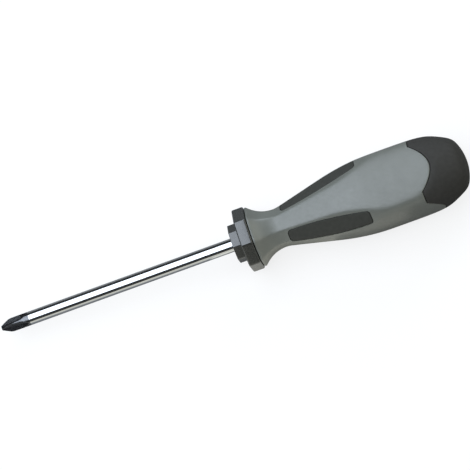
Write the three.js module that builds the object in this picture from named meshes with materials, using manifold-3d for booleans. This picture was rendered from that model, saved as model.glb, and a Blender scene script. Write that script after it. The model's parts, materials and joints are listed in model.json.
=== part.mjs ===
// A cross-head screwdriver: a steel blade in a dark core with a stepped octagonal bolster, a grey
// handle shell over the core, four soft inserts on the handle's corners and a soft end cap.
// Millimetres, +Z up. The tool lies on one wide side of its handle with its point towards -X.
import * as THREE from 'three';
import { mergeVertices } from 'three/addons/utils/BufferGeometryUtils.js';
import Module from 'manifold-3d';

const wasm = await Module();
wasm.setup();

// Driving dimensions. A setback is measured towards the rear from the piece in front, or forwards
// from the butt end where it says so. FLATS are widths across two opposite flat sides.

// Clearance between neighbouring pieces
const CLEARANCE = 0.3;

// Blade
const BLADE_REACH = 100; // blunt point to the bolster's front face
const SHANK_DIAMETER = 5.6;
const POINT_DIAMETER = 1.8; // blunt end of the cross point
const POINT_HALF_ANGLE = 26.5; // degrees
const FLUTE_ROOT = 0.84; // from the axis to the flute's root, at the blunt end
const FLUTE_LENGTH = 11.5; // until the flute runs out of the shank
const FLUTE_SLOPE = 0.078; // rise of the root along the flute
const FLUTE_RUN_OUT = 0.45; // rise of the root where the flute runs out
const FLUTE_ANGLE = 136; // degrees between a flute's two flanks
const CROSS_TURN = 7; // degrees of the point's cross about the axis
const TANG_SETBACK = 34; // from the butt end to the end of the tang
const TANG_CHAMFER = 0.8;
const WING_LENGTH = 12; // flattened wings that stop the blade turning in the core
const WING_THICKNESS = 2.6;
const WING_SETBACK = 8; // from the end of the tang to the wings
const WING_COVER = 0.8; // plastic left outside a wing

// Core with the stepped bolster
const COLLAR_FLATS = 14.8;
const COLLAR_LENGTH = 3.7;
const FLANGE_FLATS = 24.6;
const FLANGE_LENGTH = 5;
const STEM_WALL = 1.95; // plastic around the shank inside the neck
const STEM_END_WALL = 3;

// Handle
const HANDLE_LENGTH = 91.3; // flange's rear face to the butt end
const RIM_STEP = 0.3; // the handle's front rim stands this far inside the flange
const RIM_LAND = 0.9; // flange's rear face to the start of the flare
const NECK_SETBACK = 12.1; // flange's rear face to the neck
const FLARE_POWER = 2.5; // how quickly the flare runs out into the neck
const POCKET_FLOOR = 0.8; // shell left under an insert at the neck
const GRIP_SLOPE = 0.234; // growth of the half width along the grip
const NECK_BLEND = 0.4; // softness where the neck turns into the grip
const SWELL_FLATS = 29.3; // across two opposite wide faces
const FACE_RADIUS = 45; // slight crown across a wide face
const SWELL_CORNERS = 35.2; // across two opposite corner facets
const FACE_BLEND = 2.2; // softness where the wide faces level out
const CORNER_BLEND = 1.2;
const EDGE_SHARPNESS = 40; // exponent that rounds the edges between the facets

// Rounded butt, as the body of revolution that trims the handle's section
const GIRTH_DIAMETER = 35.8;
const GIRTH_SETBACK = 30; // from the butt end to the widest place
const SIDE_RADIUS = 52;
const SHOULDER_SETBACK = 5.5; // from the butt end to the start of the shoulder
const SHOULDER_ROUND = 2.6; // reach of the shoulder's curve along each side
const END_FACE_DIAMETER = 14;
const END_RADIUS = 20;

// Soft inserts on the corner facets
const INSERT_SETBACK = 14.2; // flange's rear face to an insert
const INSERT_TO_CAP = 22.9; // an insert's rear end to the cap's tabs
const INSERT_THICKNESS = 1.2;
const INSERT_FRONT_WIDTH = 5.9;
const INSERT_CROWN = 1.75; // bulge of each long side's guide point beyond the front width
const INSERT_REAR_WIDTH = 6.2;
const INSERT_LEAN = 0.7; // from a corner facet's middle towards the side face
const INSERT_FRONT_CORNER = 2.3;
const INSERT_REAR_CORNER = 1.7;

// Soft end cap
const TAB_SETBACK = 20; // from the butt end to the tabs' front edges
const TONGUE_LENGTH = 6.2; // the shell's rounded tongues between the tabs
const UPPER_TONGUE_SPAN = 74; // degrees round the axis, as the next three
const SIDE_TONGUE_SPAN = 80;
const LOWER_TONGUE_SPAN = 56;
const SIDE_TONGUE_LEAN = 8; // from a side face's middle towards the lower face
const CAP_WALL = 2.2;
const CAP_END_WALL = 5;
const SPIGOT_ROOT = 4; // overlap of the shell's spigot with the body in front of the cap

// Fineness of the curved surfaces
const SECTION_SIDES = 48;
const EDGE_SIDES = 96;
const SHANK_SIDES = 48;
const FLARE_STEP = 1.6; // between sections in front of the neck
const BODY_STEP = 4; // between sections behind the neck
const CURVE_STEPS = 3;

// Sizes that follow from the driving dimensions
const shankRadius = SHANK_DIAMETER / 2;
const stemHalf = shankRadius + CLEARANCE + STEM_WALL;
const boreHalf = stemHalf + CLEARANCE;
const neckHalf = boreHalf + POCKET_FLOOR + CLEARANCE + INSERT_THICKNESS;
const flangeHalf = FLANGE_FLATS / 2;
const rimHalf = flangeHalf - RIM_STEP;
const swellHalf = SWELL_FLATS / 2;
const cornerHalf = SWELL_CORNERS / 2;
const girthRadius = GIRTH_DIAMETER / 2;

// Places along the tool's axis, from the bolster's front face
const pointEnd = -BLADE_REACH;
const flangeFront = COLLAR_LENGTH;
const flangeRear = flangeFront + FLANGE_LENGTH;
const shellFront = flangeRear + CLEARANCE;
const flareFront = flangeRear + RIM_LAND;
const buttEnd = flangeRear + HANDLE_LENGTH;
const neckPlace = flangeRear + NECK_SETBACK;
const girthPlace = buttEnd - GIRTH_SETBACK;
const shoulderPlace = buttEnd - SHOULDER_SETBACK;
const tabFront = buttEnd - TAB_SETBACK;
const tongueTip = tabFront + TONGUE_LENGTH;
const spigotEnd = buttEnd - CAP_END_WALL;
const insertFront = flangeRear + INSERT_SETBACK;
const insertRear = tabFront - INSERT_TO_CAP;
const tangEnd = buttEnd - TANG_SETBACK;
const stemEnd = tangEnd + CLEARANCE + STEM_END_WALL;

// Smooth minimum and maximum, rounded where the two values come within the given softness.
function softMin(first, second, softness) {
  const overlap = Math.max(softness - Math.abs(first - second), 0) / softness;
  return Math.min(first, second) - (overlap * overlap * softness) / 4;
}

function softMax(first, second, softness) {
  return -softMin(-first, -second, softness);
}

// Half width of the handle at a place: flare, neck and grip, levelling out at the given limit.
function handleHalf(at, limit, softness) {
  const beyondNeck = at - neckPlace;
  const flareShare = THREE.MathUtils.clamp(-beyondNeck / (neckPlace - flareFront), 0, 1);
  const flare = (rimHalf - neckHalf) * flareShare ** FLARE_POWER;
  const growth = softMax(GRIP_SLOPE * beyondNeck, 0, NECK_BLEND);
  return neckHalf + flare + softMin(growth, limit - neckHalf, softness);
}

// Radius of the rounding butt's side at a place.
function girthAt(at) {
  const beyondGirth = Math.max(at - girthPlace, 0);
  return girthRadius - SIDE_RADIUS + Math.sqrt(SIDE_RADIUS ** 2 - beyondGirth ** 2);
}

// One section of the handle, with its faces drawn in by an inset.
function handleRing(at, inset = 0) {
  return {
    at,
    face: handleHalf(at, swellHalf, FACE_BLEND) - inset,
    corner: handleHalf(at, cornerHalf, CORNER_BLEND) - inset,
    girth: girthAt(at) - inset,
  };
}

function handleRings(from, to, inset = 0) {
  const rings = [];
  let at = from;
  while (at < to - FLARE_STEP / 2) {
    rings.push(handleRing(at, inset));
    at += at < neckPlace ? FLARE_STEP : BODY_STEP;
  }
  rings.push(handleRing(to, inset));
  return rings;
}

// The shoulder and the shallow end of the butt, as rings that close on the axis.
function buttRings() {
  const sideAngle = Math.asin((shoulderPlace - girthPlace) / SIDE_RADIUS);
  const endAngle = Math.asin(END_FACE_DIAMETER / 2 / END_RADIUS);
  const start = new THREE.Vector2(shoulderPlace, girthAt(shoulderPlace));
  const end = new THREE.Vector2(buttEnd - END_RADIUS * (1 - Math.cos(endAngle)), END_FACE_DIAMETER / 2);
  const path = new THREE.Path();
  path.moveTo(start.x, start.y);
  path.bezierCurveTo(
    start.x + SHOULDER_ROUND * Math.cos(sideAngle),
    start.y - SHOULDER_ROUND * Math.sin(sideAngle),
    end.x - SHOULDER_ROUND * Math.sin(endAngle),
    end.y + SHOULDER_ROUND * Math.cos(endAngle),
    end.x,
    end.y,
  );
  path.absarc(buttEnd - END_RADIUS, 0, END_RADIUS, endAngle, 0, true);
  const points = path.getPoints(CURVE_STEPS).slice(1);
  return points.map((point) => ({ ...handleRing(point.x), girth: point.y }));
}

// Distance from the axis to a crowned face and to a flat facet, in a direction off their middle.
function crownedReach(angle, reach) {
  const setback = FACE_RADIUS - reach;
  return Math.sqrt(FACE_RADIUS ** 2 - (setback * Math.sin(angle)) ** 2) - setback * Math.cos(angle);
}

function flatReach(angle, reach) {
  return reach / Math.max(Math.cos(angle), 0);
}

// Radius of a section in one direction: an octagon with crowned wide faces and flat corner facets,
// trimmed by a circle, with all its edges rounded.
function sectionRadius(angle, ring) {
  let total = (1 / ring.girth) ** EDGE_SHARPNESS;
  for (let quarter = 0; quarter < 4; quarter++) {
    const offFace = angle - (quarter * Math.PI) / 2;
    total += (1 / crownedReach(offFace, ring.face)) ** EDGE_SHARPNESS;
    total += (1 / flatReach(offFace - Math.PI / 4, ring.corner)) ** EDGE_SHARPNESS;
  }
  return total ** (-1 / EDGE_SHARPNESS);
}

// A closed body along X through rings, made from a lathe whose points are moved to the sections.
function loft(rings) {
  const closed = [{ ...rings[0], girth: 0 }, ...rings, { ...rings.at(-1), girth: 0 }];
  const profile = closed.map((ring) => new THREE.Vector2(1, ring.at));
  const geometry = new THREE.LatheGeometry(profile, SECTION_SIDES);
  const position = geometry.attributes.position;
  for (let index = 0; index < position.count; index++) {
    const ring = closed[index % closed.length];
    const angle = (Math.floor(index / closed.length) * 2 * Math.PI) / SECTION_SIDES;
    const radius = sectionRadius(angle, ring);
    position.setXYZ(index, ring.at, radius * Math.cos(angle), radius * Math.sin(angle));
  }
  return geometry;
}

// A round body along X from a profile of [place, radius] points.
function turned(points) {
  const profile = points.map(([at, radius]) => new THREE.Vector2(radius, at));
  return new THREE.LatheGeometry(profile, SHANK_SIDES).rotateZ(-Math.PI / 2);
}

// An octagonal bar along X with flat sides facing up and down.
function octagonBar(half, from, to) {
  const radius = half / Math.cos(Math.PI / 8);
  const bar = new THREE.CylinderGeometry(radius, radius, to - from, 8);
  bar.rotateZ(-Math.PI / 2).rotateX(Math.PI / 8);
  return bar.translate((from + to) / 2, 0, 0);
}

// Conversions between geometries and solids that can be joined and cut.
function solid(geometry) {
  geometry.deleteAttribute('normal');
  geometry.deleteAttribute('uv');
  const merged = mergeVertices(geometry);
  const corners = merged.index.array;
  const triangles = [];
  for (let index = 0; index < corners.length; index += 3) {
    const [a, b, c] = corners.subarray(index, index + 3);
    if (a !== b && b !== c && c !== a) triangles.push(a, b, c);
  }
  const vertProperties = new Float32Array(merged.attributes.position.array);
  const triVerts = new Uint32Array(triangles);
  return new wasm.Manifold(new wasm.Mesh({ numProp: 3, vertProperties, triVerts }));
}

function mesh(name, body, material) {
  const { vertProperties, triVerts } = body.getMesh();
  const geometry = new THREE.BufferGeometry();
  geometry.setAttribute('position', new THREE.BufferAttribute(vertProperties, 3));
  geometry.setIndex(new THREE.BufferAttribute(triVerts, 1));
  geometry.computeVertexNormals();
  const result = new THREE.Mesh(geometry, material);
  result.name = name;
  return result;
}

// Blade: the fluted point, the shank and the tang. Grown wings cut their pocket in the core.
function wings(grow) {
  const span = 2 * (stemHalf - CLEARANCE - WING_COVER + grow);
  const plate = new THREE.BoxGeometry(WING_LENGTH + 2 * grow, span, WING_THICKNESS + 2 * grow);
  return solid(plate.translate(tangEnd - WING_SETBACK - WING_LENGTH / 2, 0, 0));
}

// A bar with a V-shaped section, whose lower edge starts at a height over the blunt end and rises.
function notchBar(height, slope) {
  const depth = 2 * FLUTE_LENGTH;
  const halfWidth = depth * Math.tan(THREE.MathUtils.degToRad(FLUTE_ANGLE / 2));
  const notch = new THREE.Shape();
  notch.moveTo(0, 0);
  notch.lineTo(halfWidth, depth);
  notch.lineTo(-halfWidth, depth);
  const lead = SHANK_DIAMETER;
  const bar = new THREE.ExtrudeGeometry(notch, { depth: FLUTE_LENGTH + 2 * lead, bevelEnabled: false });
  bar.rotateY(Math.PI / 2).rotateZ(Math.atan(slope));
  return bar.translate(pointEnd - lead, height - lead * slope, 0);
}

// One flute of the cross: gently rising, then running out of the shank.
function flute(turn) {
  const along = notchBar(FLUTE_ROOT, FLUTE_SLOPE).rotateX(turn);
  const runOut = notchBar(shankRadius - FLUTE_LENGTH * FLUTE_RUN_OUT, FLUTE_RUN_OUT).rotateX(turn);
  return solid(along).intersect(solid(runOut));
}

function makeBlade() {
  const pointRadius = POINT_DIAMETER / 2;
  const taper = (shankRadius - pointRadius) / Math.tan(THREE.MathUtils.degToRad(POINT_HALF_ANGLE));
  let blade = solid(turned([
    [pointEnd, 0],
    [pointEnd, pointRadius],
    [pointEnd + taper, shankRadius],
    [tangEnd - TANG_CHAMFER, shankRadius],
    [tangEnd, shankRadius - TANG_CHAMFER],
    [tangEnd, 0],
  ])).add(wings(0));
  for (let corner = 0; corner < 4; corner++) {
    const turn = THREE.MathUtils.degToRad(45 + 90 * corner + CROSS_TURN);
    blade = blade.subtract(flute(turn));
  }
  return blade;
}

// Core: collar, flange and stem round the tang.
function makeCore() {
  const holeRadius = shankRadius + CLEARANCE;
  const hole = solid(turned([
    [-CLEARANCE, 0],
    [-CLEARANCE, holeRadius],
    [tangEnd + CLEARANCE, holeRadius],
    [tangEnd + CLEARANCE, 0],
  ]));
  const collar = solid(octagonBar(COLLAR_FLATS / 2, 0, flangeRear));
  const flange = solid(octagonBar(flangeHalf, flangeFront, flangeRear));
  const stem = solid(octagonBar(stemHalf, flangeFront, stemEnd));
  return collar.add(flange).add(stem).subtract(hole).subtract(wings(CLEARANCE));
}

// Soft inserts: a rounded outline pressed straight into each corner facet.
function insertOutline(grow) {
  const front = insertFront - grow;
  const rear = insertRear + grow;
  const frontHalf = INSERT_FRONT_WIDTH / 2 + grow;
  const rearHalf = INSERT_REAR_WIDTH / 2 + grow;
  const frontCorner = Math.min(INSERT_FRONT_CORNER + grow, frontHalf);
  const rearCorner = Math.min(INSERT_REAR_CORNER + grow, rearHalf);
  const middle = (front + rear) / 2;
  const crown = frontHalf + INSERT_CROWN;
  const outline = new THREE.Shape();
  outline.moveTo(front, frontCorner - frontHalf);
  outline.quadraticCurveTo(front, -frontHalf, front + frontCorner, -frontHalf);
  outline.quadraticCurveTo(middle, -crown, rear - rearCorner, -rearHalf);
  outline.quadraticCurveTo(rear, -rearHalf, rear, rearCorner - rearHalf);
  outline.lineTo(rear, rearHalf - rearCorner);
  outline.quadraticCurveTo(rear, rearHalf, rear - rearCorner, rearHalf);
  outline.quadraticCurveTo(middle, crown, front + frontCorner, frontHalf);
  outline.quadraticCurveTo(front, frontHalf, front, frontHalf - frontCorner);
  return outline;
}

function insertPrism(corner, grow) {
  const prism = new THREE.ExtrudeGeometry(insertOutline(grow), {
    depth: SWELL_CORNERS,
    bevelEnabled: false,
    curveSegments: CURVE_STEPS,
  });
  prism.translate(0, corner % 2 ? INSERT_LEAN : -INSERT_LEAN, 0);
  return solid(prism.rotateX(Math.PI / 4 + (corner * Math.PI) / 2));
}

function insertFloor(thickness) {
  return solid(loft(handleRings(flareFront, tabFront, thickness)));
}

// Soft end cap: the line where it begins runs across the four corners as tabs, and curves back
// round the shell's tongues on the four faces. Angles run from +Y to +Z.
function capEdge(angle) {
  const tongues = [
    [90, UPPER_TONGUE_SPAN],
    [180 + SIDE_TONGUE_LEAN, SIDE_TONGUE_SPAN],
    [270, LOWER_TONGUE_SPAN],
    [360 - SIDE_TONGUE_LEAN, SIDE_TONGUE_SPAN],
  ];
  const degrees = THREE.MathUtils.radToDeg(angle);
  const places = tongues.map(([middle, span]) => {
    const offMiddle = THREE.MathUtils.euclideanModulo(degrees - middle + 180, 360) - 180;
    return tongueTip - TONGUE_LENGTH * (offMiddle / (span / 2)) ** 2;
  });
  return Math.max(tabFront, ...places);
}

// A wide round body whose front rim follows that line, over the whole rear of the handle. Its middle
// is closed by the spigot.
function capZone(gap) {
  const rear = () => buttEnd + CAP_END_WALL;
  const front = (angle) => capEdge(angle) + gap;
  const rims = [
    [0, () => tongueTip],
    [stemHalf, front],
    [SWELL_CORNERS, front],
    [SWELL_CORNERS, rear],
    [0, rear],
  ];
  const profile = rims.map(([radius]) => new THREE.Vector2(radius, 0));
  const geometry = new THREE.LatheGeometry(profile, EDGE_SIDES);
  const position = geometry.attributes.position;
  for (let index = 0; index < position.count; index++) {
    const [radius, placeAt] = rims[index % rims.length];
    const angle = (Math.floor(index / rims.length) * 2 * Math.PI) / EDGE_SIDES;
    position.setXYZ(index, placeAt(angle), radius * Math.cos(angle), radius * Math.sin(angle));
  }
  return solid(geometry);
}

// The shell's plug under the cap, or the cap's hollow when grown.
function spigot(grow) {
  const inset = CAP_WALL + CLEARANCE - grow;
  return solid(loft(handleRings(tabFront - SPIGOT_ROOT, spigotEnd + grow, inset)));
}

const bodyRings = handleRings(flareFront, shoulderPlace);
const outsideRings = [handleRing(shellFront), ...bodyRings, ...buttRings()];
const outside = solid(loft(outsideRings));

function makeInsert(corner) {
  return outside.intersect(insertPrism(corner, 0)).subtract(insertFloor(INSERT_THICKNESS));
}

function makeShell() {
  const bore = solid(octagonBar(boreHalf, shellFront - CLEARANCE, stemEnd + CLEARANCE));
  const floor = insertFloor(INSERT_THICKNESS + CLEARANCE);
  let shell = outside.subtract(capZone(0)).add(spigot(0)).subtract(bore);
  for (let corner = 0; corner < 4; corner++) {
    shell = shell.subtract(insertPrism(corner, CLEARANCE).subtract(floor));
  }
  return shell;
}

function makeCap() {
  return outside.intersect(capZone(CLEARANCE)).subtract(spigot(CLEARANCE));
}

// Finishes
const chrome = new THREE.MeshStandardMaterial({ color: 0xc9cdcf, roughness: 0.15, metalness: 1 });
const darkPlastic = new THREE.MeshStandardMaterial({ color: 0x3a3b38, roughness: 0.4, metalness: 0 });
const greyPlastic = new THREE.MeshStandardMaterial({ color: 0x878d8e, roughness: 0.5, metalness: 0 });
const softRubber = new THREE.MeshStandardMaterial({ color: 0x3b3c39, roughness: 0.85, metalness: 0 });

const tool = new THREE.Group();
tool.add(mesh('blade', makeBlade(), chrome));
tool.add(mesh('core', makeCore(), darkPlastic));
tool.add(mesh('handle_shell', makeShell(), greyPlastic));
for (let corner = 0; corner < 4; corner++) {
  tool.add(mesh(`grip_insert_${corner + 1}`, makeInsert(corner), softRubber));
}
tool.add(mesh('end_cap', makeCap(), softRubber));

// Lying pose: the flange's front edge and the handle's lower face both touch the ground, so the axis
// rises by the steepest line from that edge to the handle's face behind the neck.
const lowerRings = outsideRings.filter((ring) => ring.at > neckPlace);
const slopes = lowerRings.map((ring) => (ring.face - flangeHalf) / (ring.at - flangeFront));
tool.rotation.y = -Math.atan(Math.max(...slopes));
tool.updateMatrixWorld(true);
const box = new THREE.Box3().setFromObject(tool, true);
const middle = box.getCenter(new THREE.Vector3());
tool.position.set(-middle.x, -middle.y, -box.min.z);

const screwdriver = new THREE.Group();
screwdriver.add(tool);

export default screwdriver;
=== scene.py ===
import json
import math

import bpy
import numpy as np
from mathutils import Matrix, Vector


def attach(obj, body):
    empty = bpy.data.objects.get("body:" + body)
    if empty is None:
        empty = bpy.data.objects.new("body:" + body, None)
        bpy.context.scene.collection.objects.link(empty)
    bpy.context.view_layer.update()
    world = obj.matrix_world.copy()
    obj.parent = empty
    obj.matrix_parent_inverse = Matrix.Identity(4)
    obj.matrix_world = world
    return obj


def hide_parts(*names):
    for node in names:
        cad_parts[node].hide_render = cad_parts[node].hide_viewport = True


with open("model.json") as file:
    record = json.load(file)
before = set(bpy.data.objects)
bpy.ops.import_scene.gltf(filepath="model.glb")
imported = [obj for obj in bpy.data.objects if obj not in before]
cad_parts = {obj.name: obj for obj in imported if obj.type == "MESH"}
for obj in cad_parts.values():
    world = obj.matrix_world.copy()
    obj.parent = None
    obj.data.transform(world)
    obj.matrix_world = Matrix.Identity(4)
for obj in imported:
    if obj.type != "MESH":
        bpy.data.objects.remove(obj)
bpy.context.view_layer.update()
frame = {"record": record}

# A cross-head screwdriver: a chromed blade with a dark point, a dark stepped octagonal bolster, a
# grey faceted handle with four soft inserts and a soft end cap. Shapes are written in millimetres
# in the tool's own frame: x along the axis from the bolster's front face towards the butt, z
# through the face that lies on top. Angles run from y to z round the axis.
MM = 0.001

# Blade
BLADE_REACH = 100.0
SHANK_RADIUS = 2.8
POINT_RADIUS = 0.9
POINT_HALF_ANGLE = math.radians(26.5)
FLUTE_ROOT = 0.84
FLUTE_LENGTH = 11.5
FLUTE_SLOPE = 0.078
FLUTE_RUN_OUT = 0.45
FLUTE_HALF_ANGLE = math.radians(68.0)
CROSS_TURN = math.radians(7.0)
TANG_END = 66.0
DARK_POINT_LENGTH = 11.9
SHANK_ROWS_SETBACK = 16.0  # from the blunt point to the shank's even rows

# Core with the stepped bolster
COLLAR_HALF = 7.4
FLANGE_HALF = 12.3
FLANGE_FRONT = 3.7
FLANGE_REAR = 8.7
STEM_HALF = 5.05
STEM_END = 69.3
SHANK_GAP = 0.1
COLLAR_LIP = 0.25
FLANGE_LIP = 0.7
BOLSTER_SHARPNESS = 130.0

# Handle
SHELL_FRONT = 9.0
BUTT_END = 100.0
RIM_HALF = 12.0
RIM_LIP = 0.2
FLARE_FRONT = 9.6
BORE_HALF = 5.35
BORE_END = 70.0
NECK_HALF = 7.65
NECK_PLACE = 20.8
NECK_BLEND = 0.4
FLARE_POWER = 2.5
GRIP_SLOPE = 0.234
SWELL_HALF = 14.65
FACE_RADIUS = 45.0
FACE_BLEND = 2.2
CORNER_HALF = 17.6
CORNER_BLEND = 1.2
EDGE_SHARPNESS = 40.0

# Rounded butt
GIRTH_RADIUS = 17.9
GIRTH_PLACE = 70.0
SIDE_RADIUS = 52.0
SHOULDER_PLACE = 94.5
SHOULDER_ROUND = 2.6
END_FACE_RADIUS = 7.0
END_RADIUS = 20.0

# Soft inserts on the corner facets
CORNERS = (1, 2, 3, 4)
INSERT_FRONT = 22.9
INSERT_REAR = 57.1
INSERT_FRONT_HALF = 2.95
INSERT_REAR_HALF = 3.1
INSERT_CROWN = 1.75
INSERT_LEAN = 0.7
INSERT_FRONT_CORNER = 2.3
INSERT_REAR_CORNER = 1.7
INSERT_DEPTH = 1.1
INSERT_LIP = 0.35
POCKET_DEPTH = 1.25
POCKET_GAP = 0.22
CUTTER_HEIGHT = 5.0  # of the body that cuts a pocket

# Soft end cap
TAB_FRONT = 80.0
TONGUE_LENGTH = 6.2
TONGUE_MIDDLES = np.radians([90.0, 188.0, 270.0, 352.0])
TONGUE_SPANS = np.radians([74.0, 80.0, 56.0, 80.0])
CAP_WALL = 2.2
CAP_GAP = 0.24
CAP_LIP = 0.3
TONGUE_LIP = 0.4
SPIGOT_END = 95.0

# Fineness of the meshes
AROUND = 480
LIP_STEPS = 5
BODY_ROWS = 150
CAP_ROWS = 40
BUTT_STEPS = 24
INSERT_CORNER_STEPS = 12
INSERT_SIDE_STEPS = 70
INSERT_COLUMNS = np.array([0.0, 0.01, 0.03, 0.06, 0.1, 0.17, 0.28, 0.45, 0.7])  # shares, from the rim
FACET_ROUNDS = 8  # tries that close in on the surface's height
TIP_ROWS = 90
SHANK_ROWS = 22
ANGLES = np.linspace(0.0, 2.0 * math.pi, AROUND, endpoint=False)
SHARP_ANGLE = math.radians(32.0)  # edges with a larger angle stay sharp
TINY = 1e-6  # keeps divisors away from nothing

# Shares of a noise texture's range that are spread over a material's two ends
NOISE_LOW = 0.3
NOISE_HIGH = 0.7


# The tool's frame, from the mount on the blunt point

def tool_matrix():
    """From the tool's own frame to the part's."""
    mounts = {mount["name"]: mount for mount in frame["record"]["mounts"]}
    point = mounts["drive_point"]
    along = -Vector(point["axis"]).normalized()
    side = Vector((0.0, 1.0, 0.0))
    up = along.cross(side)
    turn = Matrix((along, side, up)).transposed().to_4x4()
    return Matrix.Translation(Vector(point["pos_m"]) + along * BLADE_REACH * MM) @ turn


TOOL = tool_matrix()


# Shapes

def soft_min(first, second, softness):
    """Smooth minimum, rounded where the two values come within the softness."""
    overlap = np.maximum(softness - np.abs(first - second), 0.0) / softness
    return np.minimum(first, second) - overlap ** 2 * softness / 4.0


def handle_half(at, limit, softness):
    """Half width of the handle at a place: flare, neck and grip, levelling out at a limit."""
    beyond_neck = at - NECK_PLACE
    flare_share = np.clip((NECK_PLACE - at) / (NECK_PLACE - FLARE_FRONT), 0.0, 1.0)
    flare = (RIM_HALF - NECK_HALF) * flare_share ** FLARE_POWER
    growth = -soft_min(-GRIP_SLOPE * beyond_neck, 0.0 * beyond_neck, NECK_BLEND)
    return NECK_HALF + flare + soft_min(growth, limit - NECK_HALF, softness)


def girth_at(at):
    """Radius of the rounding butt's side at a place."""
    beyond_girth = np.maximum(at - GIRTH_PLACE, 0.0)
    return GIRTH_RADIUS - SIDE_RADIUS + np.sqrt(SIDE_RADIUS ** 2 - beyond_girth ** 2)


def flat_nearness(angles, reach):
    """One over the distance from the axis to a flat side, at angles off its middle."""
    return np.maximum(np.cos(angles), 0.0) / reach


def crowned_nearness(angles, reach):
    """One over the distance from the axis to a crowned side, at angles off its middle."""
    setback = FACE_RADIUS - reach
    return 1.0 / (np.sqrt(FACE_RADIUS ** 2 - (setback * np.sin(angles)) ** 2) - setback * np.cos(angles))


def section(angles, face, corner, girth, sharpness, face_nearness):
    """Radius of an octagon with wide faces and corner facets, trimmed by a circle."""
    total = (face / girth) ** sharpness
    for quarter in range(4):
        off_face = angles - quarter * math.pi / 2.0
        total = total + (face * face_nearness(off_face, face)) ** sharpness
        total = total + (face * flat_nearness(off_face - math.pi / 4.0, corner)) ** sharpness
    return face * total ** (-1.0 / sharpness)


def handle_radius(at, angles=ANGLES, inset=0.0, girth=None):
    """Radius of the handle's outer surface, or of a surface drawn in by an inset."""
    at = np.asarray(at, dtype=float) + 0.0 * angles
    face = handle_half(at, SWELL_HALF, FACE_BLEND) - inset
    corner = handle_half(at, CORNER_HALF, CORNER_BLEND) - inset
    trim = girth_at(at) - inset if girth is None else girth
    return section(angles, face, corner, trim, EDGE_SHARPNESS, crowned_nearness)


def octagon(half, girth=math.inf):
    """Radius of a crisp regular octagon, or of a circle where the girth is smaller."""
    return section(ANGLES, half, half, girth, BOLSTER_SHARPNESS, flat_nearness)


def cap_edge():
    """Front edge of the end cap round the handle: tabs on the corners, scallops between them."""
    off_middle = (ANGLES - TONGUE_MIDDLES[:, None] + math.pi) % (2.0 * math.pi) - math.pi
    across = np.abs(2.0 * off_middle / TONGUE_SPANS[:, None]).min(axis=0)
    return TAB_FRONT + TONGUE_LENGTH * np.maximum(1.0 - across ** 2, 0.0)


def lip(size):
    """Setback and drop at each step of an edge rounded by a quarter circle, from the edge inwards."""
    turn = np.linspace(0.0, math.pi / 2.0, LIP_STEPS + 1)
    return list(zip(size * (1.0 - np.cos(turn)), size * (1.0 - np.sin(turn))))


def curve(points, steps):
    """Points on a quadratic or cubic Bezier curve with the given control points."""
    share = np.linspace(0.0, 1.0, steps + 1)[:, None]
    level = [np.asarray(point, dtype=float) + 0.0 * share for point in points]
    while len(level) > 1:
        level = [(1.0 - share) * a + share * b for a, b in zip(level, level[1:])]
    return level[0]


def butt_path():
    """Place and radius along the shoulder and the shallow end of the butt, up to the axis."""
    side_angle = math.asin((SHOULDER_PLACE - GIRTH_PLACE) / SIDE_RADIUS)
    end_angle = math.asin(END_FACE_RADIUS / END_RADIUS)
    start = (SHOULDER_PLACE, float(girth_at(SHOULDER_PLACE)))
    end = (BUTT_END - END_RADIUS * (1.0 - math.cos(end_angle)), END_FACE_RADIUS)
    start_guide = (start[0] + SHOULDER_ROUND * math.cos(side_angle),
                   start[1] - SHOULDER_ROUND * math.sin(side_angle))
    end_guide = (end[0] - SHOULDER_ROUND * math.sin(end_angle),
                 end[1] + SHOULDER_ROUND * math.cos(end_angle))
    shoulder = curve([start, start_guide, end_guide, end], BUTT_STEPS)
    turn = np.linspace(end_angle, 0.0, BUTT_STEPS + 1)[1:-1]
    dome = np.stack([BUTT_END - END_RADIUS * (1.0 - np.cos(turn)), END_RADIUS * np.sin(turn)], axis=1)
    return np.vstack([shoulder, dome])


# Meshes

def new_object(name, points, faces):
    """An object from points in millimetres in the tool's frame."""
    mesh = bpy.data.meshes.new(name)
    mesh.from_pydata((np.asarray(points) * MM).tolist(), [], faces)
    mesh.transform(TOOL)
    piece = bpy.data.objects.new(name, mesh)
    bpy.context.scene.collection.objects.link(piece)
    return piece


def skin(name, path, front_pole, rear_pole):
    """A closed body through rows of places and radii round the axis, shut on the axis at both ends."""
    places = np.stack([np.asarray(place) + 0.0 * ANGLES for place, _ in path])
    radii = np.stack([np.asarray(radius) + 0.0 * ANGLES for _, radius in path])
    points = np.stack([places, radii * np.cos(ANGLES), radii * np.sin(ANGLES)], axis=-1)
    poles = [(front_pole, 0.0, 0.0), (rear_pole, 0.0, 0.0)]
    index = np.arange(radii.size).reshape(radii.shape)
    beside = np.roll(index, -1, axis=1)
    quads = np.stack([index[:-1], beside[:-1], beside[1:], index[1:]], axis=-1)
    faces = quads.reshape(-1, 4).tolist()
    faces += [(radii.size, after, before) for before, after in zip(index[0], beside[0])]
    faces += [(radii.size + 1, before, after) for before, after in zip(index[-1], beside[-1])]
    return new_object(name, np.vstack([points.reshape(-1, 3), poles]), faces)


def finish_piece(piece, nodes, materials):
    """Give a piece its materials, smooth shading, body and replaced nodes."""
    for material in materials:
        piece.data.materials.append(material)
    piece.data.shade_smooth()
    piece.data.set_sharp_from_angle(angle=SHARP_ANGLE)
    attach(piece, "root")
    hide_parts(*nodes)


def cut(piece, cutters):
    """Cut closed bodies out of a piece, and delete those bodies."""
    for cutter in cutters:
        modifier = piece.modifiers.new("cut", "BOOLEAN")
        modifier.operation = "DIFFERENCE"
        modifier.solver = "EXACT"
        modifier.object = cutter
    view = bpy.context.evaluated_depsgraph_get()
    piece.data = bpy.data.meshes.new_from_object(piece.evaluated_get(view))
    piece.modifiers.clear()
    for cutter in cutters:
        bpy.data.objects.remove(cutter)


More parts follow.
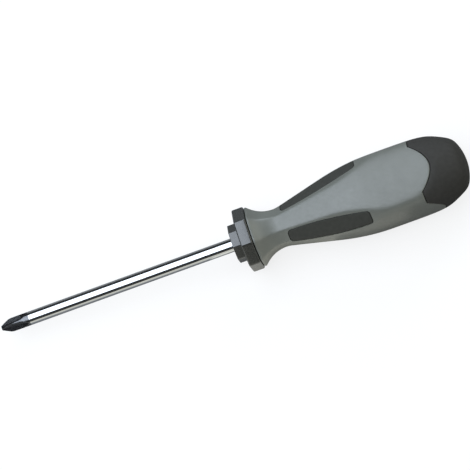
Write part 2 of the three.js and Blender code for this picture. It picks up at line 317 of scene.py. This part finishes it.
# Materials

def new_material(name):
    """A material with its node tree and its shader."""
    material = bpy.data.materials.new(name)
    material.use_nodes = True
    return material, material.node_tree, material.node_tree.nodes["Principled BSDF"]


def noise(tree, scale, detail=3.0):
    """Noise in the part's frame with so many lumps per metre along x, y and z."""
    place = tree.nodes.new("ShaderNodeTexCoord")
    stretch = tree.nodes.new("ShaderNodeMapping")
    stretch.inputs["Scale"].default_value = scale
    texture = tree.nodes.new("ShaderNodeTexNoise")
    texture.inputs["Scale"].default_value = 1.0
    texture.inputs["Detail"].default_value = detail
    tree.links.new(place.outputs["Object"], stretch.inputs["Vector"])
    tree.links.new(stretch.outputs["Vector"], texture.inputs["Vector"])
    return texture.outputs["Fac"]


def colour_from(tree, shader, factor, low, high):
    """Let a noise vary the colour between two ends."""
    ramp = tree.nodes.new("ShaderNodeValToRGB")
    ramp.color_ramp.elements[0].position = NOISE_LOW
    ramp.color_ramp.elements[0].color = (*low, 1.0)
    ramp.color_ramp.elements[1].position = NOISE_HIGH
    ramp.color_ramp.elements[1].color = (*high, 1.0)
    tree.links.new(factor, ramp.inputs["Fac"])
    tree.links.new(ramp.outputs["Color"], shader.inputs["Base Color"])


def roughness_from(tree, shader, factor, low, high):
    """Let a noise vary the roughness between two ends."""
    spread = tree.nodes.new("ShaderNodeMapRange")
    spread.inputs["From Min"].default_value = NOISE_LOW
    spread.inputs["From Max"].default_value = NOISE_HIGH
    spread.inputs["To Min"].default_value = low
    spread.inputs["To Max"].default_value = high
    tree.links.new(factor, spread.inputs["Value"])
    tree.links.new(spread.outputs["Result"], shader.inputs["Roughness"])


def bump_from(tree, shader, factor, distance, strength):
    """Let a noise raise and lower the surface, by a distance in metres."""
    bump = tree.nodes.new("ShaderNodeBump")
    bump.inputs["Distance"].default_value = distance
    bump.inputs["Strength"].default_value = strength
    tree.links.new(factor, bump.inputs["Height"])
    tree.links.new(bump.outputs["Normal"], shader.inputs["Normal"])


def even(scale):
    """The same scale along x, y and z."""
    return (scale, scale, scale)


def chrome():
    """Bright plating with faint polishing lines round the shank."""
    material, tree, shader = new_material("chrome")
    shader.inputs["Metallic"].default_value = 1.0
    colour_from(tree, shader, noise(tree, even(140.0)), (0.63, 0.64, 0.645), (0.68, 0.69, 0.69))
    lines = noise(tree, (5200.0, 160.0, 160.0), detail=2.0)
    roughness_from(tree, shader, lines, 0.03, 0.06)
    bump_from(tree, shader, lines, 0.00001, 0.12)
    return material


def dark_finish():
    """Dark finish on the point, worn a little lighter in patches."""
    material, tree, shader = new_material("dark_point_finish")
    shader.inputs["Metallic"].default_value = 1.0
    colour_from(tree, shader, noise(tree, even(900.0)), (0.12, 0.122, 0.127), (0.18, 0.183, 0.19))
    fine = noise(tree, even(4200.0))
    roughness_from(tree, shader, fine, 0.16, 0.28)
    bump_from(tree, shader, fine, 0.00002, 0.08)
    return material


def grey_plastic():
    """Mid grey moulded plastic with a fine satin grain."""
    material, tree, shader = new_material("grey_plastic")
    shader.inputs["Specular IOR Level"].default_value = 1.0
    colour_from(tree, shader, noise(tree, even(220.0)), (0.146, 0.153, 0.132), (0.160, 0.168, 0.145))
    roughness_from(tree, shader, noise(tree, even(900.0)), 0.36, 0.48)
    bump_from(tree, shader, noise(tree, even(3600.0), detail=2.0), 0.00004, 0.2)
    return material


def dark_plastic():
    """Dark moulded plastic with a soft gloss."""
    material, tree, shader = new_material("dark_plastic")
    shader.inputs["IOR"].default_value = 1.6
    shader.inputs["Specular IOR Level"].default_value = 0.95
    colour_from(tree, shader, noise(tree, even(400.0)), (0.021, 0.022, 0.019), (0.027, 0.028, 0.024))
    roughness_from(tree, shader, noise(tree, even(1500.0)), 0.2, 0.3)
    bump_from(tree, shader, noise(tree, even(3000.0), detail=2.0), 0.00002, 0.06)
    return material


def soft_plastic(name, low, high):
    """Dark soft plastic with a matt grain."""
    material, tree, shader = new_material(name)
    shader.inputs["Specular IOR Level"].default_value = 0.25
    colour_from(tree, shader, noise(tree, even(600.0)), low, high)
    roughness_from(tree, shader, noise(tree, even(1200.0)), 0.62, 0.78)
    bump_from(tree, shader, noise(tree, even(4500.0), detail=2.0), 0.00006, 0.3)
    return material


# Pieces

def blade_rows():
    """Rows from the blunt point to the tang, with the four flutes as a limit on the radius."""
    point = -BLADE_REACH
    quarter = math.pi / 2.0
    off_flute = np.abs((ANGLES - CROSS_TURN) % quarter - quarter / 2.0)
    opening = np.maximum(np.cos(off_flute) - np.sin(off_flute) / math.tan(FLUTE_HALF_ANGLE), TINY)
    fluted = np.linspace(0.0, FLUTE_LENGTH, TIP_ROWS + 1)
    rows = []
    for run in fluted:
        round_radius = min(POINT_RADIUS + run * math.tan(POINT_HALF_ANGLE), SHANK_RADIUS)
        running_out = SHANK_RADIUS - (FLUTE_LENGTH - run) * FLUTE_RUN_OUT
        root = max(FLUTE_ROOT + FLUTE_SLOPE * run, running_out)
        rows.append((point + run, np.minimum(round_radius, root / opening)))
    shank = np.linspace(point + SHANK_ROWS_SETBACK, 0.0, SHANK_ROWS)
    straight = [point + DARK_POINT_LENGTH, *shank, TANG_END]
    return rows + [(place, SHANK_RADIUS) for place in straight]


def make_blade(bright, dark):
    """The blade, with its second material on the point."""
    blade = skin("blade_chromed", blade_rows(), -BLADE_REACH, TANG_END)
    finish_piece(blade, ["blade"], [bright, dark])
    dark_end = TOOL @ Vector(((DARK_POINT_LENGTH - BLADE_REACH) * MM, 0.0, 0.0))
    for face in blade.data.polygons:
        face.material_index = 1 if face.center.x < dark_end.x else 0


def make_core(material):
    """The core: from the shank's hole over collar and flange to the stem."""
    hole = octagon(COLLAR_HALF, SHANK_RADIUS + SHANK_GAP)
    path = [(FLANGE_FRONT, hole), (0.0, hole)]
    path += [(back, octagon(COLLAR_HALF - drop)) for back, drop in lip(COLLAR_LIP)]
    path += [(FLANGE_FRONT, octagon(COLLAR_HALF))]
    path += [(FLANGE_FRONT + back, octagon(FLANGE_HALF - drop)) for back, drop in lip(FLANGE_LIP)]
    path += [(FLANGE_REAR - back, octagon(FLANGE_HALF - drop)) for back, drop in reversed(lip(FLANGE_LIP))]
    path += [(FLANGE_REAR, octagon(STEM_HALF)), (STEM_END, octagon(STEM_HALF))]
    core = skin("bolster_and_core", path, FLANGE_FRONT, STEM_END)
    finish_piece(core, ["core"], [material])


def make_shell(material):
    """The handle's body: from the bore over rim, grip and tongues to the spigot, with four pockets."""
    edge = cap_edge() - CAP_GAP / 2.0
    bore = octagon(BORE_HALF)
    path = [(BORE_END, bore), (SHELL_FRONT, bore)]
    for back, drop in lip(RIM_LIP):
        path.append((SHELL_FRONT + back, handle_radius(SHELL_FRONT + back) - drop))
    for share in np.linspace(0.0, 1.0, BODY_ROWS + 2)[1:-1]:
        place = SHELL_FRONT + RIM_LIP + share * (edge - TONGUE_LIP - SHELL_FRONT - RIM_LIP)
        path.append((place, handle_radius(place)))
    for back, drop in reversed(lip(TONGUE_LIP)):
        path.append((edge - back, handle_radius(edge - back) - drop))
    inset = CAP_WALL + CAP_GAP
    path += [(edge, handle_radius(edge, inset=inset)), (SPIGOT_END, handle_radius(SPIGOT_END, inset=inset))]
    shell = skin("handle_body", path, BORE_END, SPIGOT_END)
    cut(shell, [pocket_cutter(turn) for turn in CORNERS])
    finish_piece(shell, ["handle_shell"], [material])


def insert_side(grow):
    """Place and half width along one long side of an insert's outline, from front to rear."""
    front, rear = INSERT_FRONT - grow, INSERT_REAR + grow
    front_half, rear_half = INSERT_FRONT_HALF + grow, INSERT_REAR_HALF + grow
    front_corner, rear_corner = INSERT_FRONT_CORNER + grow, INSERT_REAR_CORNER + grow
    side_start, side_end = (front + front_corner, front_half), (rear - rear_corner, rear_half)
    guide = ((front + rear) / 2.0, front_half + INSERT_CROWN)
    first = curve([(front, front_half - front_corner), (front, front_half), side_start], INSERT_CORNER_STEPS)
    side = curve([side_start, guide, side_end], INSERT_SIDE_STEPS)
    last = curve([side_end, (rear, rear_half), (rear, rear_half - rear_corner)], INSERT_CORNER_STEPS)
    return np.vstack([first, side[1:], last[1:]])


def insert_lean(turn):
    """Shift of an insert's middle line across its corner facet, towards the side face."""
    return INSERT_LEAN if turn % 2 else -INSERT_LEAN


def on_corner(turn, places, across, heights):
    """Points from place, width across an insert and height above the axis."""
    angle = math.pi / 4.0 + turn * math.pi / 2.0
    outward = np.array([0.0, math.cos(angle), math.sin(angle)])
    sideways = np.array([0.0, -math.sin(angle), math.cos(angle)])
    along = np.array([1.0, 0.0, 0.0])
    parts = zip((places, across + insert_lean(turn), heights), (along, sideways, outward))
    return sum(np.asarray(value)[..., None] * direction for value, direction in parts)


def pocket_cutter(turn):
    """A closed body over one insert's outline, from the pocket's floor to well outside."""
    side = insert_side(POCKET_GAP)
    outline = np.vstack([side * (1.0, -1.0), side[::-1]])
    floor = handle_half(outline[:, 0], CORNER_HALF, CORNER_BLEND) - POCKET_DEPTH
    lower = on_corner(turn, outline[:, 0], outline[:, 1], floor)
    upper = on_corner(turn, outline[:, 0], outline[:, 1], floor + CUTTER_HEIGHT)
    count, half = len(outline), len(side)
    faces = [(n, count + n, count + (n + 1) % count, (n + 1) % count) for n in range(count)]
    for n in range(half - 1):
        strip = (n, n + 1, count - 2 - n, count - 1 - n)
        faces.append(strip)
        faces.append(tuple(count + corner for corner in reversed(strip)))
    return new_object("pocket_cutter", np.vstack([lower, upper]), faces)


def facet_height(turn, places, across):
    """Height of the handle's surface above the axis, over a width across an insert."""
    angle = math.pi / 4.0 + turn * math.pi / 2.0
    off_middle = across + insert_lean(turn)
    height = handle_half(places, CORNER_HALF, CORNER_BLEND)
    for _ in range(FACET_ROUNDS):
        radius = handle_radius(places, angle + np.arctan2(off_middle, height))
        height = np.sqrt(radius ** 2 - off_middle ** 2)
    return height


def make_insert(turn, material):
    """One soft insert: a top on the handle's surface with a rounded rim, a floor and walls."""
    side = insert_side(0.0)
    shares = np.concatenate([INSERT_COLUMNS - 1.0, [0.0], 1.0 - INSERT_COLUMNS[::-1]])
    places = np.repeat(side[:, :1], len(shares), axis=1)
    across = side[:, 1:] * shares
    slope = np.gradient(side[:, 1]) / np.maximum(np.gradient(side[:, 0]), TINY)
    from_side = (side[:, 1:] - np.abs(across)) / np.sqrt(1.0 + slope[:, None] ** 2)
    from_end = np.minimum(places - INSERT_FRONT, INSERT_REAR - places)
    short = np.maximum(INSERT_LIP - np.minimum(from_side, from_end), 0.0)
    drop = INSERT_LIP - np.sqrt(INSERT_LIP ** 2 - short ** 2)
    top = on_corner(turn, places, across, facet_height(turn, places, across) - drop)
    floor = handle_half(places, CORNER_HALF, CORNER_BLEND) - INSERT_DEPTH
    bottom = on_corner(turn, places, across, floor)
    rows, columns = places.shape
    index = np.arange(rows * columns).reshape(rows, columns)
    quads = np.stack([index[:-1, :-1], index[1:, :-1], index[1:, 1:], index[:-1, 1:]], axis=-1)
    upper = quads.reshape(-1, 4)
    rim = np.concatenate([index[:-1, 0], index[-1, :-1], index[:0:-1, -1], index[0, :0:-1]])
    after = np.roll(rim, -1)
    walls = np.stack([after, rim, rim + index.size, after + index.size], axis=-1)
    faces = np.vstack([upper[:, ::-1], upper + index.size, walls[:, ::-1]]).tolist()
    points = np.vstack([top.reshape(-1, 3), bottom.reshape(-1, 3)])
    insert = new_object(f"soft_insert_{turn}", points, faces)
    finish_piece(insert, [f"grip_insert_{turn}"], [material])


def make_cap(material):
    """The end cap: from its hollow over the front edge and the shoulder to the butt."""
    edge = cap_edge() + CAP_GAP / 2.0
    hollow_end = SPIGOT_END + CAP_GAP
    path = [(hollow_end, handle_radius(SPIGOT_END, inset=CAP_WALL))]
    path.append((edge, handle_radius(edge, inset=CAP_WALL)))
    for back, drop in lip(CAP_LIP):
        path.append((edge + back, handle_radius(edge + back) - drop))
    for share in np.linspace(0.0, 1.0, CAP_ROWS + 1)[1:-1]:
        place = edge + CAP_LIP + share * (SHOULDER_PLACE - edge - CAP_LIP)
        path.append((place, handle_radius(place)))
    for place, girth in butt_path():
        path.append((place, handle_radius(place, girth=girth)))
    cap = skin("soft_end_cap", path, hollow_end, BUTT_END)
    finish_piece(cap, ["end_cap"], [material])


# Camera, floor and light

VIEW_ELEVATION = math.radians(74.0)
VIEW_TOWARDS_BUTT = math.radians(5.4)
PICTURE_ROLL = math.radians(19.887)
CAMERA_DISTANCE = 3.0
FIELD_WIDTH = 0.1893
TARGET_ALONG = 1.8
TARGET_ASIDE = 3.47
FLOOR_HALF = 2.0
FLOOR_COLOUR = (0.22, 0.22, 0.22, 1.0)
FLOOR_GLOW = {"Is Camera Ray": 0.8, "Is Glossy Ray": 0.05, "Is Transmission Ray": 0.05}
WORLD_COLOUR = (0.9, 0.95, 1.0, 1.0)
WORLD_STRENGTH = 0.05
COOL = (0.9, 0.985, 1.1)
WARM = (1.0, 0.99, 0.87)
UPRIGHT = math.pi / 2.0

# Lamps: name, place, turn about x and y, width, height, radiance and colour
LAMPS = (
    ("key_softbox", (-0.75, 0.215, 1.25), (0.0, 0.0), 1.7, 1.87, 2.7, COOL),
    ("back_softbox", (0.8, 1.1, 0.75), (-UPRIGHT, 0.0), 1.2, 0.9, 3.2, COOL),
    ("butt_softbox", (0.9, -0.1, 0.42), (0.0, UPRIGHT), 0.66, 1.1, 1.35, WARM),
    ("front_card", (0.0, -0.85, 0.1), (UPRIGHT, 0.0), 1.7, 0.2, 0.8, WARM),
    ("low_card", (-0.14, -0.17, 0.004), (math.pi, 0.0), 0.42, 0.3, 0.46, WARM),
    ("handle_card", (0.013, -0.027, 0.001), (math.pi, 0.0), 0.05, 0.03, 0.5, WARM),
)


def make_camera():
    """A camera that looks at the tool from above, a little from the front and the butt."""
    tilt = math.pi / 2.0 - VIEW_ELEVATION
    level = math.cos(VIEW_TOWARDS_BUTT)
    towards = Vector((math.sin(VIEW_TOWARDS_BUTT), -level * math.sin(tilt), level * math.cos(tilt)))
    axis = Vector((1.0, 0.0, 0.0))
    axis_seen = (axis - towards * axis.dot(towards)).normalized()
    across_seen = towards.cross(axis_seen)
    right = axis_seen * math.cos(PICTURE_ROLL) - across_seen * math.sin(PICTURE_ROLL)
    up = axis_seen * math.sin(PICTURE_ROLL) + across_seen * math.cos(PICTURE_ROLL)
    target = axis * TARGET_ALONG * MM + across_seen * TARGET_ASIDE * MM
    turn = Matrix((right, up, towards)).transposed().to_4x4()
    data = bpy.data.cameras.new("camera")
    data.lens = data.sensor_width * CAMERA_DISTANCE / FIELD_WIDTH
    camera = bpy.data.objects.new("camera", data)
    camera.matrix_world = TOOL @ Matrix.Translation(target + towards * CAMERA_DISTANCE) @ turn
    bpy.context.scene.collection.objects.link(camera)
    bpy.context.scene.camera = camera


def floor_material():
    """Floor that looks white to the camera, stays dim in reflections and keeps its shadow."""
    material, tree, shader = new_material("white_floor")
    shader.inputs["Base Color"].default_value = FLOOR_COLOUR
    shader.inputs["Roughness"].default_value = 0.9
    shader.inputs["Specular IOR Level"].default_value = 0.1
    shader.inputs["Emission Color"].default_value = (1.0, 1.0, 1.0, 1.0)
    rays = tree.nodes.new("ShaderNodeLightPath")
    glow = None
    for ray, strength in FLOOR_GLOW.items():
        share = tree.nodes.new("ShaderNodeMath")
        share.operation = "MULTIPLY_ADD"
        share.inputs[1].default_value = strength
        share.inputs[2].default_value = 0.0
        tree.links.new(rays.outputs[ray], share.inputs[0])
        if glow:
            tree.links.new(glow.outputs["Value"], share.inputs[2])
        glow = share
    tree.links.new(glow.outputs["Value"], shader.inputs["Emission Strength"])
    return material


def make_floor():
    corners = [(x * FLOOR_HALF, y * FLOOR_HALF, 0.0) for x, y in ((-1, -1), (1, -1), (1, 1), (-1, 1))]
    mesh = bpy.data.meshes.new("floor")
    mesh.from_pydata(corners, [], [(0, 1, 2, 3)])
    mesh.materials.append(floor_material())
    floor = bpy.data.objects.new("floor", mesh)
    bpy.context.scene.collection.objects.link(floor)


def make_softbox(name, place, turn, width, height, radiance, colour):
    """A rectangular lamp that shines down where its turn about x and y is nothing."""
    data = bpy.data.lights.new(name, "AREA")
    data.color = colour
    data.shape = "RECTANGLE"
    data.size = width
    data.size_y = height
    data.energy = radiance * math.pi * width * height
    lamp = bpy.data.objects.new(name, data)
    lamp.location = place
    lamp.rotation_euler = (*turn, 0.0)
    lamp.visible_camera = False
    bpy.context.scene.collection.objects.link(lamp)


def make_light():
    for lamp in LAMPS:
        make_softbox(*lamp)
    world = bpy.data.worlds.new("studio")
    world.use_nodes = True
    background = world.node_tree.nodes["Background"]
    background.inputs["Color"].default_value = WORLD_COLOUR
    background.inputs["Strength"].default_value = WORLD_STRENGTH
    bpy.context.scene.world = world
    bpy.context.scene.view_settings.view_transform = "Standard"


make_camera()
make_floor()
make_light()
make_blade(chrome(), dark_finish())
make_core(dark_plastic())
make_shell(grey_plastic())
insert_material = soft_plastic("insert_soft_plastic", (0.046, 0.047, 0.040), (0.056, 0.056, 0.048))
for corner in CORNERS:
    make_insert(corner, insert_material)
make_cap(soft_plastic("cap_soft_plastic", (0.0395, 0.0378, 0.0339), (0.0472, 0.0454, 0.0407)))
